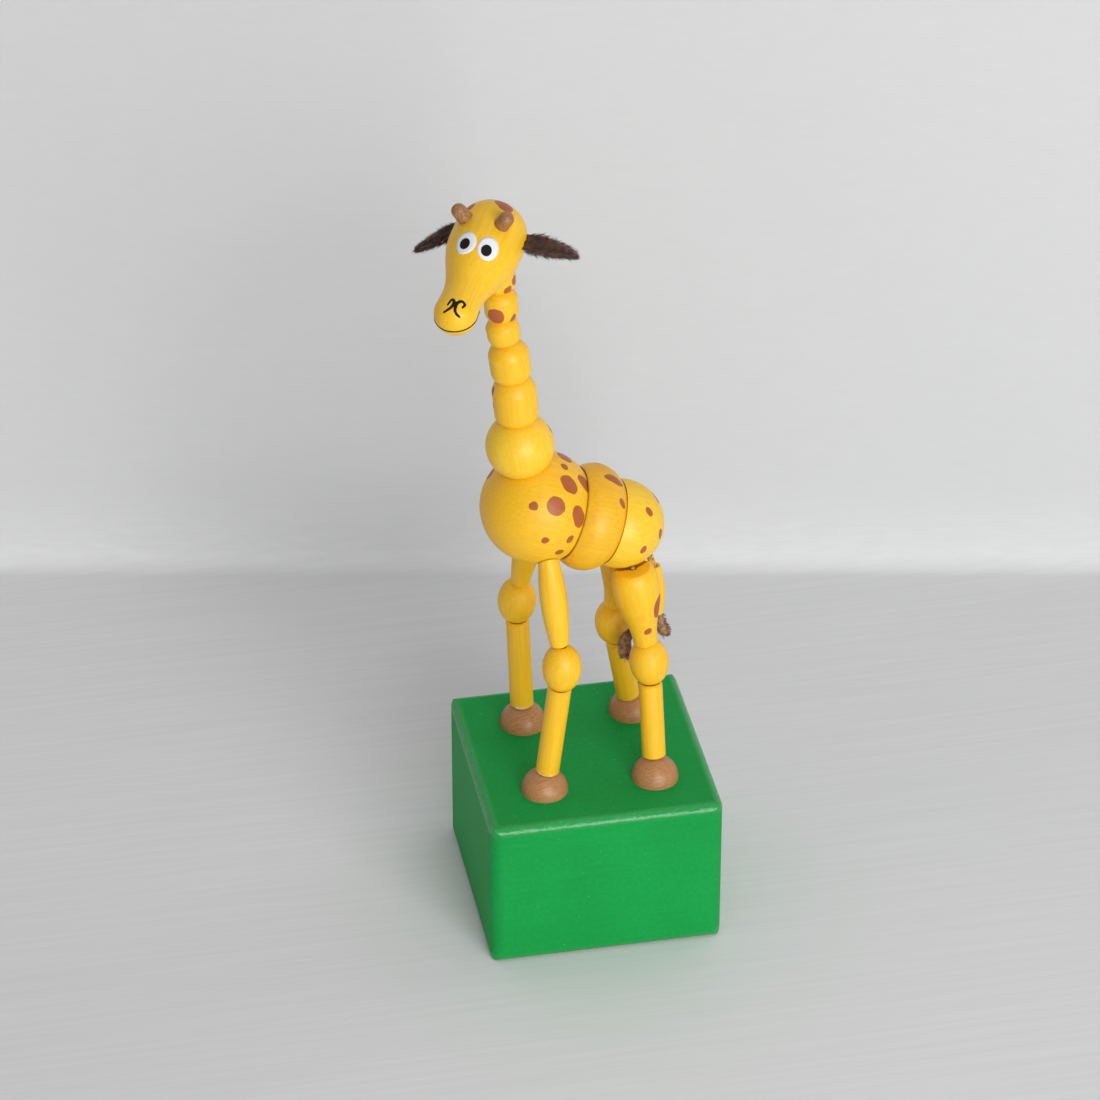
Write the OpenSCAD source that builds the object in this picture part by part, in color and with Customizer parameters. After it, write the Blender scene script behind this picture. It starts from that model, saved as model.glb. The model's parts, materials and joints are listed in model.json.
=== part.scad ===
// Push puppet: a strung wooden giraffe that stands on a block with a sprung button underneath.
// The giraffe faces -X, its left side is -Y, and the origin is the middle of the block's underside.

/* [Block] */
// Side of the square block
block_side = 60; // [58:0.5:66]
// Height of the block
block_height = 42; // [40:0.5:46]
// Rounding of the block's level edges
block_edge = 2.25; // [1:0.25:3]
// Rounding of the block's upright edges
block_corner = 3.5; // [2:0.25:5]
// Thickness of the wood left above the button's bore
roof_thickness = 10; // [8:0.5:12]

/* [Button] */
// Diameter of the bore that the button slides in
bore_d = 48; // [46:0.5:50]
// Thickness of the button
button_thickness = 9; // [8:0.5:10]
// How deep the button sits above the table
button_recess = 6; // [5:0.5:6.5]
// Wire diameter of the return spring
spring_wire = 1.3; // [1:0.1:1.6]
// Mean diameter of the return spring
spring_d = 20; // [18:0.5:22]
// Active turns of the return spring
spring_turns = 5; // [4:0.5:6]

/* [Figure] */
// Height of the giraffe above the block
figure_height = 164; // [162:0.5:166]

/* [Legs] */
// Diameter of the half-round hooves
hoof_d = 12; // [11.5:0.1:12.5]
// Diameter of the shin dowels
shin_d = 6; // [5.6:0.1:6.4]
// Widest diameter of the knee beads
knee_d = 9.9; // [9.7:0.1:10.3]
// Radius of the rounded ends of the knee beads
knee_end_r = 4.6; // [4.5:0.05:4.65]
// Widest diameter of the front thighs
thigh_d = 6.8; // [6.4:0.1:7.2]
// Widest diameter of the rear haunches
haunch_d = 12; // [11.4:0.1:12.4]

/* [Body] */
// Diameter of the chest ball
chest_d = 28.6; // [28:0.1:29]
// Diameter of the belly
belly_d = 27; // [26:0.1:27.4]
// Diameter of the rump ball
rump_d = 22.4; // [22:0.1:22.8]
// Diameter of the ball at the foot of the neck
neck_ball_d = 17; // [16.6:0.1:17.4]

/* [Head] */
// Widest diameter of the head
head_d = 17.8; // [17:0.1:18.4]
// Diameter of the muzzle
muzzle_d = 10.4; // [10:0.1:10.8]
// Diameter of the horn pegs
horn_d = 3.7; // [3:0.1:4]
// How far the horns stand out of the head
horn_rise = 4.5; // [3.4:0.1:5]
// Length of an ear
ear_length = 13; // [12:0.25:14]
// Width of an ear
ear_width = 5.2; // [4.6:0.1:5.8]

/* [Strings and fits] */
// Diameter of the strings
string_d = 1; // [0.8:0.05:1.1]
// Diameter of the holes that the strings run in
hole_d = 2; // [2:0.1:2.4]
// Gap between a cup and the ball it sits on
seat_gap = 0.25; // [0.2:0.01:0.3]
// Slack gap at the hips whose strings hang loose
hip_gap = 0.7; // [0.5:0.05:0.9]
// Gap around the button
button_gap = 0.4; // [0.3:0.05:0.6]

/* [Hidden] */
$fn = 64;
top = block_height;
bore_top = block_height - roof_thickness;
button_top = button_recess + button_thickness;
hole_r = hole_d / 2;
string_r = string_d / 2;
rim_edge = 0.4;
rim_width = 0.25;

// Hoof centres, as shares of the block's side, on its top face
hoof_y = 0.245 * block_side;
front_hoof_x = -0.2225 * block_side;
rear_hoof_x = 0.25333 * block_side;
hoof_front_left = [front_hoof_x, -hoof_y, top];
hoof_front_right = [front_hoof_x, hoof_y, top];
hoof_rear_left = [rear_hoof_x, -hoof_y, top];
hoof_rear_right = [rear_hoof_x, hoof_y, top];

// Centres of the knee beads
knee_front_left = above_block([-9.1, -15.4, 37.5]);
knee_front_right = above_block([-14.6, 15.6, 37.8]);
knee_rear_left = above_block([14.65, -8.2, 31.3]);
knee_rear_right = above_block([9.7, 11.3, 31]);

// Belly: an oblate bead between two spheres around the chest's centre
chest_r = chest_d / 2;
rump_r = rump_d / 2;
belly_r = belly_d / 2;
belly_back_r = chest_r + 0.3 * belly_d;
belly_from_chest = belly_back_r - 0.326 * belly_d;
belly_half = 0.3556 * belly_d;
rump_sink = 0.314;
waist_gap = 0.05;

// Centres of the body's balls, and where the strings enter them at the hips
chest = above_block([-12.3, 0, 76.1]);
rump = chest + (belly_back_r - rump_sink) * unit([20.7, 0, -7.7]);
front_hip_out = [0.9, 10.2, -10.5];
rear_left_hip_out = [1.9, 7.4, -8.4];
rear_right_hip_out = [3.4, 7.8, -7.7];
hip_front_left = chest + hip_point(front_hip_out, -1, chest_r);
hip_front_right = chest + hip_point(front_hip_out, 1, chest_r);
hip_rear_left = rump + hip_point(rear_left_hip_out, -1, rump_r);
hip_rear_right = rump + hip_point(rear_right_hip_out, 1, rump_r);

// Knee beads: two ball ends joined by a shallow arc
knee_r = knee_d / 2;
knee_end_z = 1.7;
knee_arc_r = (knee_r ^ 2 + knee_end_z ^ 2 - knee_end_r ^ 2) / (2 * (knee_r - knee_end_r));
knee_arc_c = knee_arc_r - knee_r;
knee_arc_a = atan2(knee_end_z, knee_arc_c);
knee_hole_r = 1.3;

// Neck: the pivots are the centres of the domes that the beads sit on
neck_ball_r = neck_ball_d / 2;
neck_pivots = [
    above_block([-16.6, 0, 94.4]),
    above_block([-17.9, 0, 109.6]),
    above_block([-19.2, 0, 119.9]),
    above_block([-20.6, 0, 127.6]),
    above_block([-21.1, 0, 135.7]),
    above_block([-21.6, 0, 142.5])
];
neck_round = 1.3;
neck_round_rise = 2.2;
neck_domes = neck_ball_r * [1, 0.659, 0.612, 0.518, 0.518, 0.506];
neck_hole_more = 0.15;
neck_sides = neck_ball_r * [1, 0.647, 0.588, 0.482, 0.488, 0.482];

// Head: a turned pear whose axis points to the muzzle
head_middle = above_block([-23.4, 0, 154.6]);
head_yaw = 60;
head_pitch = 17;
head_r = head_d / 2;
muzzle_r = muzzle_d / 2;
head_back_z = 0.7;
head_wide_z = 5;
head_waist_z = 21.5;
head_waist_r = 4.95;
muzzle_z = 26;
horn_r = horn_d / 2;
horn_z = 3;
horn_splay = 31;
horn_foot = 5.2;
horn_gap = 0.05;
ear_z = 1;
ear_thickness = 0.9;
ear_root_r = 0.8;
ear_root_depth = 2.5;
ear_droop_left = 2;
ear_droop_right = 38;

// Tail: hangs from a knot in a round pocket of the rump
tail_knot = rump + [7.1, 0, -8.3];
tail_pocket_r = 1.6;
tail_knot_r = 1.1;
tail_top = tail_knot + [2.1, 0, -5.6];
tail_end = tail_knot + [3, 0, -19.9];
tail_r = 2.2;
tuft_r = 2.6;
tuft_length = 8.5;

// Button strings
tie_share = 0.7;
knot_r = 1.5;
knot_pocket_r = 2.2;
knot_pocket_depth = 4;

yellow = [0.96, 0.74, 0.17];
green = [0.12, 0.62, 0.30];
brown = [0.66, 0.43, 0.27];
fur_brown = [0.21, 0.13, 0.10];
yarn_brown = [0.36, 0.23, 0.15];
thread = [0.72, 0.55, 0.24];
steel = [0.66, 0.67, 0.69];

function unit(v) = v / norm(v);

// A point of the figure, laid out for a giraffe of 164 and carried to the height chosen
function above_block(p) = p * figure_height / 164 + [0, 0, top];
function mix(a, b, t) = a + (b - a) * t;
function hip_point(out, side, r) = r * unit([out[0], side * out[1], out[2]]);

// Points of an arc around a centre on the turning axis, by angle from +Z
function arc(z, r, from, to, n) = [
    for (i = [0:n]) let (a = mix(from, to, i / n)) [r * sin(a), z + r * cos(a)]
];

// The knee bead's own axis halves the bend between shin and thigh
function knee_axis(hoof, knee, hip) = unit(unit(knee - hoof) + unit(hip - knee));
function knee_low(hoof, knee, hip) = knee - knee_end_z * knee_axis(hoof, knee, hip);
function knee_high(hoof, knee, hip) = knee + knee_end_z * knee_axis(hoof, knee, hip);

// The belly's outline by angle, and the angle at which it meets a sphere around the chest's centre
function belly_outline(a) = [belly_r * sin(a), belly_from_chest + belly_half * cos(a)];
function belly_tilt(a) = atan2(belly_outline(a)[0], belly_outline(a)[1]);
function belly_meets(r) =
    let (
        a = belly_half ^ 2 - belly_r ^ 2,
        b = 2 * belly_from_chest * belly_half,
        c = belly_r ^ 2 + belly_from_chest ^ 2 - r ^ 2
    )
    acos((sqrt(b ^ 2 - 4 * a * c) - b) / (2 * a));

// Puts the local +Z axis on the line from a to b, with the origin at a
module along(a, b) {
    d = b - a;
    translate(a)
        rotate([0, acos(d[2] / norm(d)), atan2(d[1], d[0])])
            children();
}

module rod(a, b, r, more_a = 0, more_b = 0) {
    along(a, b)
        translate([0, 0, -more_a])
            cylinder(h = norm(b - a) + more_a + more_b, r = r);
}

module ball(at, r) {
    translate(at)
        sphere(r = r);
}

module turned(points) {
    rotate_extrude()
        polygon(points);
}

// A round tube through a list of points, one radius for each point
module tube(points, radii, sides = 8) {
    last = len(points) - 1;
    rings = [
        for (i = [0:last])
            let (
                t = unit(points[min(i + 1, last)] - points[max(i - 1, 0)]),
                u = unit(cross(abs(t[1]) < 0.9 ? [0, 1, 0] : [1, 0, 0], t)),
                v = cross(t, u)
            )
            for (k = [0:sides - 1])
                points[i] + radii[i] * (cos(360 * k / sides) * u + sin(360 * k / sides) * v)
    ];
    walls = [
        for (i = [0:last - 1], k = [0:sides - 1])
            let (m = (k + 1) % sides, p = i * sides)
            each [[p + k, p + sides + k, p + sides + m], [p + k, p + sides + m, p + m]]
    ];
    foot = [for (k = [0:sides - 1]) k];
    crown = [for (k = [sides - 1:-1:0]) last * sides + k];
    polyhedron(rings, concat(walls, [foot, crown]));
}

// Block, button and spring
module button_hole(hoof, r, z, h) {
    translate([hoof[0] * tie_share, hoof[1] * tie_share, z])
        cylinder(h = h, r = r);
}

// A square with rounded corners, drawn from its middle
module rounded_square(w, h, r) {
    square([w - 2 * r, h], center = true);
    square([w, h - 2 * r], center = true);
    for (x = [-1, 1], y = [-1, 1])
        translate([x * (w / 2 - r), y * (h / 2 - r)])
            circle(r = r);
}

module base_block() {
    color(green)
        difference() {
            translate([0, 0, top / 2])
                intersection() {
                    linear_extrude(top, center = true)
                        rounded_square(block_side, block_side, block_corner);
                    rotate([90, 0, 0])
                        linear_extrude(block_side, center = true)
                            rounded_square(block_side, top, block_edge);
                    rotate([0, 90, 0])
                        linear_extrude(block_side, center = true)
                            rounded_square(top, block_side, block_edge);
                }
            translate([0, 0, -1])
                cylinder(h = bore_top + 1, d = bore_d);
            for (hoof = [hoof_front_left, hoof_front_right, hoof_rear_left, hoof_rear_right])
                translate([hoof[0], hoof[1], bore_top - 1])
                    cylinder(h = roof_thickness + 2, r = hole_r);
        }
}

module push_button() {
    color(green)
        difference() {
            translate([0, 0, button_recess])
                cylinder(h = button_thickness, d = bore_d - 2 * button_gap);
            for (hoof = [hoof_front_left, hoof_front_right, hoof_rear_left, hoof_rear_right]) {
                button_hole(hoof, hole_r, button_recess - 1, button_thickness + 2);
                button_hole(hoof, knot_pocket_r, button_recess - 1, knot_pocket_depth + 1);
            }
        }
}

module return_spring() {
    low = button_top + spring_wire / 2 + 0.1;
    high = bore_top - spring_wire / 2 - 0.1;
    closed = 0.75;
    close_rise = spring_wire + 0.5;
    turns = spring_turns + 2 * closed;
    steps = ceil(turns * 20);
    function rise(t) =
        t < closed ? close_rise * t :
        t > turns - closed ? high - low - close_rise * (turns - t) :
        mix(close_rise * closed, high - low - close_rise * closed, (t - closed) / spring_turns);
    pitch = (high - low - 2 * close_rise * closed) / spring_turns;
    echo(spring_self_gap = min(pitch, close_rise) - spring_wire);
    color(steel)
        tube(
            [
                for (i = [0:steps]) let (t = turns * i / steps)
                    [spring_d / 2 * cos(360 * t), spring_d / 2 * sin(360 * t), low + rise(t)]
            ],
            [for (i = [0:steps]) spring_wire / 2],
            6
        );
}

// Legs
module hoof(at, knee, hip) {
    color(brown)
        difference() {
            ball(at, hoof_d / 2);
            translate(at - [hoof_d, hoof_d, 2 * hoof_d])
                cube(2 * hoof_d);
            rod(at, knee_low(at, knee, hip), hole_r, 1);
        }
}

module shin(at, knee, hip) {
    low = knee_low(at, knee, hip);
    cup_low = hoof_d / 2 + seat_gap;
    cup_high = knee_end_r + seat_gap;
    mouth = shin_d / 2 - rim_edge - rim_width;
    z0 = sqrt(cup_low ^ 2 - mouth ^ 2);
    z1 = norm(low - at) - sqrt(cup_high ^ 2 - mouth ^ 2);
    r = shin_d / 2;
    color(yellow)
        difference() {
            along(at, low)
                turned([[0, z0], [r - rim_edge, z0], [r, z0 + rim_edge], [r, z1 - rim_edge], [r - rim_edge, z1], [0, z1]]);
            ball(at, cup_low);
            ball(low, cup_high);
            rod(at, low, hole_r);
        }
}

module knee(at, knee, hip) {
    color(yellow)
        difference() {
            along(knee, knee + knee_axis(at, knee, hip))
                turned(concat(
                    arc(knee_end_z, knee_end_r, 0, 90 - knee_arc_a, 12),
                    [
                        for (i = [1:7]) let (a = mix(knee_arc_a, -knee_arc_a, i / 8))
                            [knee_arc_r * cos(a) - knee_arc_c, knee_arc_r * sin(a)]
                    ],
                    arc(-knee_end_z, knee_end_r, 90 + knee_arc_a, 180, 12)
                ));
            rod(knee, knee + knee_axis(at, knee, hip), knee_hole_r, knee_d, knee_d);
        }
}

// A turned leg piece from the knee's upper ball to the ball that it carries
module upper_leg(at, knee, hip, middle, middle_r, gap, over, profile) {
    high = knee_high(at, knee, hip);
    cup = knee_end_r + seat_gap;
    mouth = profile[0][0] - rim_edge - rim_width;
    z0 = sqrt(cup ^ 2 - mouth ^ 2);
    z1 = norm(hip - high) + over;
    color(yellow)
        difference() {
            along(high, hip)
                turned(concat(
                    [[0, z0], [profile[0][0] - rim_edge, z0]],
                    [for (p = profile) [p[0], mix(z0 + rim_edge, z1, p[1])]],
                    [[0, z1]]
                ));
            ball(high, cup);
            ball(middle, middle_r + gap);
            rod(high, hip, hole_r, 0, 8);
        }
}

module front_thigh(at, knee, hip, gap) {
    low_r = 2.4;
    high_r = 2.3;
    bulge = thigh_d / 2 - mix(low_r, high_r, 0.5);
    upper_leg(at, knee, hip, chest, chest_r, gap, high_r, [
        for (i = [0:14]) let (t = i / 14) [mix(low_r, high_r, t) + bulge * sin(180 * t), t]
    ]);
}

module rear_haunch(at, knee, hip, gap) {
    low_r = 3.1;
    high_r = 4;
    wide_r = haunch_d / 2;
    wide_t = 0.76;
    over = -0.6;
    upper_leg(at, knee, hip, rump, rump_r, gap, over, concat(
        [for (i = [0:12]) let (t = i / 12) [mix(low_r, wide_r, (1 - cos(180 * t)) / 2), wide_t * t]],
        [for (i = [1:9]) let (t = i / 10) [mix(high_r, wide_r, cos(90 * t)), mix(wide_t, 1, sin(90 * t))]]
    ));
}

// A leg's string, from its knot in the button up to the ball it holds
module leg_string(at, knee, hip, middle) {
    low = knee_low(at, knee, hip);
    high = knee_high(at, knee, hip);
    tie = [at[0] * tie_share, at[1] * tie_share, 0];
    knot_z = button_recess + knot_pocket_depth - knot_r - 0.3;
    roof = [at[0], at[1], bore_top];
    color(thread)
        tube(
            [
                tie + [0, 0, knot_z - knot_r], tie + [0, 0, knot_z], tie + [0, 0, knot_z + knot_r],
                tie + [0, 0, button_top], roof, mix(roof, at, 0.9), mix(at, low, 0.1),
                mix(at, low, 0.85), low, high, mix(high, hip, 0.15), mix(high, hip, 0.97),
                mix(hip, middle, 0.15), mix(hip, middle, 0.5)
            ],
            [0.6, knot_r, string_r, for (i = [0:10]) string_r]
        );
}

module hip_holes(middle, left, right) {
    for (hip = [left, right])
        rod(middle, hip, hole_r + 0.35, -3, 3);
}

// Body
module chest_ball() {
    color(yellow)
        difference() {
            ball(chest, chest_r);
            hip_holes(chest, hip_front_left, hip_front_right);
            rod(chest, neck_pivots[0], hole_r);
            rod(chest, rump, hole_r);
        }
}

module belly_bead() {
    cup = chest_r + seat_gap;
    front = belly_meets(cup);
    back = belly_meets(belly_back_r);
    color(yellow)
        difference() {
            along(chest, rump)
                turned(concat(
                    arc(0, belly_back_r, 0, belly_tilt(back), 12),
                    [for (i = [1:17]) belly_outline(mix(back, front, i / 18))],
                    arc(0, cup, belly_tilt(front), 0, 14)
                ));
            rod(chest, rump, hole_r, 0, 4);
        }
}

module rump_ball() {
    color(yellow)
        difference() {
            ball(rump, rump_r);
            ball(chest, belly_back_r + waist_gap);
            hip_holes(rump, hip_rear_left, hip_rear_right);
            rod(chest, rump, hole_r, 0, 4);
            ball(tail_knot, tail_pocket_r);
        }
}

module spine_string() {
    color(thread)
        tube([mix(chest, rump, 0.2), mix(chest, rump, 0.6), mix(chest, rump, 1.08)], [string_r, string_r, string_r]);
}

// Neck
module neck_ball() {
    color(yellow)
        difference() {
            ball(neck_pivots[0], neck_ball_r);
            ball(chest, chest_r + seat_gap);
            rod(chest, neck_pivots[0], hole_r, 0, 1);
            rod(neck_pivots[0], neck_pivots[1], hole_r, 1);
        }
}

// A bead that sits on the dome of the piece below and carries a dome itself
module neck_bead(i) {
    low = neck_pivots[i - 1];
    high = neck_pivots[i];
    r = neck_sides[i];
    dome = neck_domes[i];
    cup = neck_domes[i - 1] + seat_gap;
    length = norm(high - low);
    z0 = sqrt(cup ^ 2 - (r - neck_round - rim_width) ^ 2);
    color(yellow)
        difference() {
            along(low, high)
                turned(concat(
                    [[0, z0]],
                    [for (a = [0:15:90]) [r - neck_round * (1 - sin(a)), z0 + neck_round_rise * (1 - cos(a))]],
                    arc(length, dome, asin(r / dome), 0, 14)
                ));
            ball(low, cup);
            rod(low, high, hole_r + neck_hole_more, 0, 2 * dome);
        }
}

module neck_string() {
    last = len(neck_pivots) - 1;
    points = concat(
        [mix(chest, neck_pivots[0], 0.2)],
        neck_pivots,
        [mix(neck_pivots[last], head_middle, 0.8)]
    );
    color(thread)
        tube(points, [for (p = points) string_r]);
}

// Head: +Z of the head's own frame points to the muzzle, +X up, and +Y to the giraffe's right
module in_head_frame() {
    translate(head_middle)
        rotate([0, 0, head_yaw])
            rotate([0, -90 - head_pitch, 0])
                children();
}

module horn_place(side) {
    translate([0, 0, horn_z])
        rotate([0, 90, side * horn_splay])
            children();
}

module ear_place(side, droop) {
    translate([0, side * (head_r - ear_root_depth), ear_z])
        rotate([-90 * side, 0, 0])
            translate([0, 0, ear_root_depth])
                rotate([0, -droop, 0])
                    children();
}

module head() {
    last = len(neck_pivots) - 1;
    color(yellow)
        difference() {
            in_head_frame()
                difference() {
                    turned(concat(
                        arc(head_back_z, head_r, 180, 90, 14),
                        [
                            for (i = [0:16]) let (t = i / 16)
                                [
                                    mix(head_waist_r, head_r, (1 + cos(180 * t)) / 2),
                                    mix(head_wide_z, head_waist_z, t)
                                ]
                        ],
                        arc(muzzle_z, muzzle_r, 100, 0, 14)
                    ));
                    for (side = [-1, 1])
                        horn_place(side)
                            translate([0, 0, horn_foot - horn_gap])
                                cylinder(h = head_d, r = horn_r + horn_gap);
                    for (side = [-1, 1])
                        ear_place(side, 0)
                            translate([0, 0, -ear_root_depth - horn_gap])
                                cylinder(h = head_d, r = ear_root_r + horn_gap);
                }
            ball(neck_pivots[last], neck_domes[last] + seat_gap);
            rod(neck_pivots[last], head_middle, hole_r);
        }
}

module horn(side) {
    tip = head_r + horn_rise - horn_r;
    color(brown)
        in_head_frame()
            horn_place(side)
                turned(concat([[0, horn_foot], [horn_r, horn_foot]], arc(tip, horn_r, 90, 0, 8)));
}

module ear(side, droop) {
    leaf_r = (ear_length ^ 2 / 4 + ear_width ^ 2 / 4) / ear_width;
    color(fur_brown)
        in_head_frame() {
            ear_place(side, 0)
                translate([0, 0, -ear_root_depth])
                    cylinder(h = ear_root_depth + 0.6, r = ear_root_r);
            ear_place(side, droop)
                rotate([90, 0, 90])
                    translate([0, ear_length / 2 + 0.3, -ear_thickness / 2])
                        linear_extrude(ear_thickness)
                            intersection_for(s = [-1, 1])
                                translate([s * (leaf_r - ear_width / 2), 0])
                                    circle(r = leaf_r);
        }
}

// Tail
module tail_string() {
    color(thread)
        tube(
            [
                mix(tail_knot, tail_top, -0.12), tail_knot, mix(tail_knot, tail_top, 0.2),
                tail_top, mix(tail_top, tail_end, 0.5)
            ],
            [0.6, tail_knot_r, string_r, string_r, string_r]
        );
}

module tail_bead() {
    length = norm(tail_end - tail_top);
    color(yellow)
        difference() {
            along(tail_top, tail_end)
                turned(concat(
                    [[0, 0]],
                    [for (i = [0:14]) let (t = i / 14) [mix(1.4, tail_r, sin(180 * t)), length * t]],
                    [[0, length]]
                ));
            rod(tail_top, tail_end, hole_r - 0.2, 1, 1);
        }
}

module tail_tuft() {
    color(yarn_brown)
        along(tail_end, 2 * tail_end - tail_top)
            turned(concat(
                [[0, -3], [0.7, -3], [0.7, 0.2]],
                [for (i = [0:10]) let (t = i / 10) [0.8 + (tuft_r - 0.8) * sin(150 * t), 0.3 + tuft_length * t]],
                [[0, 0.3 + tuft_length]]
            ));
}

base_block();
push_button();
return_spring();
hoof(hoof_front_left, knee_front_left, hip_front_left);
hoof(hoof_front_right, knee_front_right, hip_front_right);
hoof(hoof_rear_left, knee_rear_left, hip_rear_left);
hoof(hoof_rear_right, knee_rear_right, hip_rear_right);
shin(hoof_front_left, knee_front_left, hip_front_left);  // shin_front_left
shin(hoof_front_right, knee_front_right, hip_front_right);  // shin_front_right
shin(hoof_rear_left, knee_rear_left, hip_rear_left);  // shin_rear_left
shin(hoof_rear_right, knee_rear_right, hip_rear_right);  // shin_rear_right
knee(hoof_front_left, knee_front_left, hip_front_left);
knee(hoof_front_right, knee_front_right, hip_front_right);
knee(hoof_rear_left, knee_rear_left, hip_rear_left);
knee(hoof_rear_right, knee_rear_right, hip_rear_right);
front_thigh(hoof_front_left, knee_front_left, hip_front_left, seat_gap);  // thigh_front_left
front_thigh(hoof_front_right, knee_front_right, hip_front_right, hip_gap);  // thigh_front_right
rear_haunch(hoof_rear_left, knee_rear_left, hip_rear_left, hip_gap);  // haunch_rear_left
rear_haunch(hoof_rear_right, knee_rear_right, hip_rear_right, hip_gap);  // haunch_rear_right
leg_string(hoof_front_left, knee_front_left, hip_front_left, chest);  // string_front_left
leg_string(hoof_front_right, knee_front_right, hip_front_right, chest);  // string_front_right
leg_string(hoof_rear_left, knee_rear_left, hip_rear_left, rump);  // string_rear_left
leg_string(hoof_rear_right, knee_rear_right, hip_rear_right, rump);  // string_rear_right
chest_ball();
belly_bead();
rump_ball();
spine_string();
neck_string();
neck_ball();
neck_bead(1);  // neck_bead_1
neck_bead(2);  // neck_bead_2
neck_bead(3);  // neck_bead_3
neck_bead(4);  // neck_bead_4
neck_bead(5);  // throat_bead
head();
horn(-1);  // horn_left
horn(1);  // horn_right
ear(-1, ear_droop_left);  // ear_left
ear(1, ear_droop_right);  // ear_right
tail_string();
tail_bead();
tail_tuft();
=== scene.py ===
# %% [markdown]
# # A strung wooden giraffe on a push block
# The toy is turned from wood: balls, beads and dowels threaded on strings that end in a sprung button
# under a green block. Every solid piece arrives already packed with its joints, so the lesson starts by
# loading them.

# %% Load the solids
import json
import math
import random

import bmesh
import bpy
from mathutils import Matrix, Quaternion, Vector
from mathutils.bvhtree import BVHTree


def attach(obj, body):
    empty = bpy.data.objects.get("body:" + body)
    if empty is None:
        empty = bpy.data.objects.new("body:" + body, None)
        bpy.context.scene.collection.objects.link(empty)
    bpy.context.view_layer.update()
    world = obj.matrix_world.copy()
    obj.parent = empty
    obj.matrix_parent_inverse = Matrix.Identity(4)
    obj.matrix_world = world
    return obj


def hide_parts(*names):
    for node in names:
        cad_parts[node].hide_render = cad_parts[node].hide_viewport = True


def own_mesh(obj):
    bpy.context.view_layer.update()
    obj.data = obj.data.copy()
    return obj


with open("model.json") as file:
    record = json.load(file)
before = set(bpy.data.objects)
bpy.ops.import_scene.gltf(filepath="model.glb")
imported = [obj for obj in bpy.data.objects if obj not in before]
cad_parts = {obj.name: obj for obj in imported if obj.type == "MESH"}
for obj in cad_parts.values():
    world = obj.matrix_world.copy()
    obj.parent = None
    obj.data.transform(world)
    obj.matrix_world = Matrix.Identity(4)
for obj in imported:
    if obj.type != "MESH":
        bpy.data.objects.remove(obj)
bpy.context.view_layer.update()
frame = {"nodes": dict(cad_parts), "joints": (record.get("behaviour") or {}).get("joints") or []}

solids = frame["nodes"]
pivot = {joint["name"]: Vector(joint["pos_m"]) for joint in frame["joints"] if "pos_m" in joint}
scene = bpy.context.scene
scene.view_settings.view_transform = "Standard"


def mm(x, y, z):
    return Vector((x, y, z)) / 1000


# %% [markdown]
# ## Camera
# The picture was taken from above with a long lens, so upright edges hardly converge. A lens of about 164
# mm on a 36 mm sensor gives the same gentle perspective. The camera is placed by an angle round the toy,
# an angle above the table and a distance, which is easier to reason about than three loose coordinates.

# %% Camera
round_toy = math.radians(-11.0)
above_table = math.radians(33.8)
towards_camera = Vector((
    math.sin(round_toy) * math.cos(above_table),
    -math.cos(round_toy) * math.cos(above_table),
    math.sin(above_table),
))
looked_at, distance = mm(-9.3, -1.0, 105.27), 1.2413
lens = bpy.data.cameras.new("camera")
lens.lens = 163.64
lens.sensor_width = 36
camera = bpy.data.objects.new("camera", lens)
camera.location = looked_at + towards_camera * distance
camera.rotation_euler = towards_camera.to_track_quat("Z", "Y").to_euler()
scene.collection.objects.link(camera)
scene.camera = camera
print("camera at", [round(c, 3) for c in camera.location])

# %% [markdown]
# ## Node helpers
# Materials here are small networks of nodes. One helper feeds a node: it sets its inputs, and links the
# inputs that are given another node's output. A second one adds a node and feeds it. With them a finish
# reads from top to bottom like a recipe.

# %% Node helpers
def feed(tree, node, inputs):
    for key, value in inputs.items():
        if isinstance(value, bpy.types.NodeSocket):
            tree.links.new(value, node.inputs[key])
        else:
            node.inputs[key].default_value = value


def add(tree, kind, inputs=None, **settings):
    made = tree.nodes.new("ShaderNode" + kind)
    for key, value in settings.items():
        setattr(made, key, value)
    feed(tree, made, inputs or {})
    return made


def calc(tree, operation, a, b=0.0):
    return add(tree, "Math", {0: a, 1: b}, operation=operation).outputs[0]


def vector_calc(tree, operation, a, b=(0.0, 0.0, 0.0)):
    return add(tree, "VectorMath", {0: a, 1: b}, operation=operation).outputs[0]


def apart(tree, place, point):
    return add(tree, "VectorMath", {0: place, 1: point}, operation="DISTANCE").outputs["Value"]


def blend_colour(tree, amount, first, second):
    return add(tree, "Mix", {0: amount, 6: first, 7: second}, data_type="RGBA").outputs[2]


def fade(tree, value, start, stop, low=0.0, high=1.0):
    inputs = {"Value": value, "From Min": start, "From Max": stop, "To Min": low, "To Max": high}
    return add(tree, "MapRange", inputs, interpolation_type="SMOOTHSTEP").outputs[0]


def speckle(tree, place, scale, detail=2.0, out=0):
    return add(tree, "TexNoise", {"Vector": place, "Scale": scale, "Detail": detail}).outputs[out]


def embossed(tree, height, strength=0.25, depth=0.0001):
    return add(tree, "Bump", {"Strength": strength, "Distance": depth, "Height": height}).outputs[0]


def new_finish(name):
    material = bpy.data.materials.new(name)
    material.use_nodes = True
    tree = material.node_tree
    place = add(tree, "TexCoord").outputs["Object"]
    return material, tree, tree.nodes["Principled BSDF"], place


def rgb(r, g, b):
    return (r, g, b, 1.0)


print("helpers ready")

# %% [markdown]
# ## Table and wall
# The toy stands on a pale grey brushed board in front of a pale wall. One sheet makes both: the far edge
# of a flat grid is extruded upwards, and the crease is bevelled so that it fades softly, as in a photo
# studio. Seen from behind the wall is clear, so that the toy can be looked at from every side.

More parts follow.
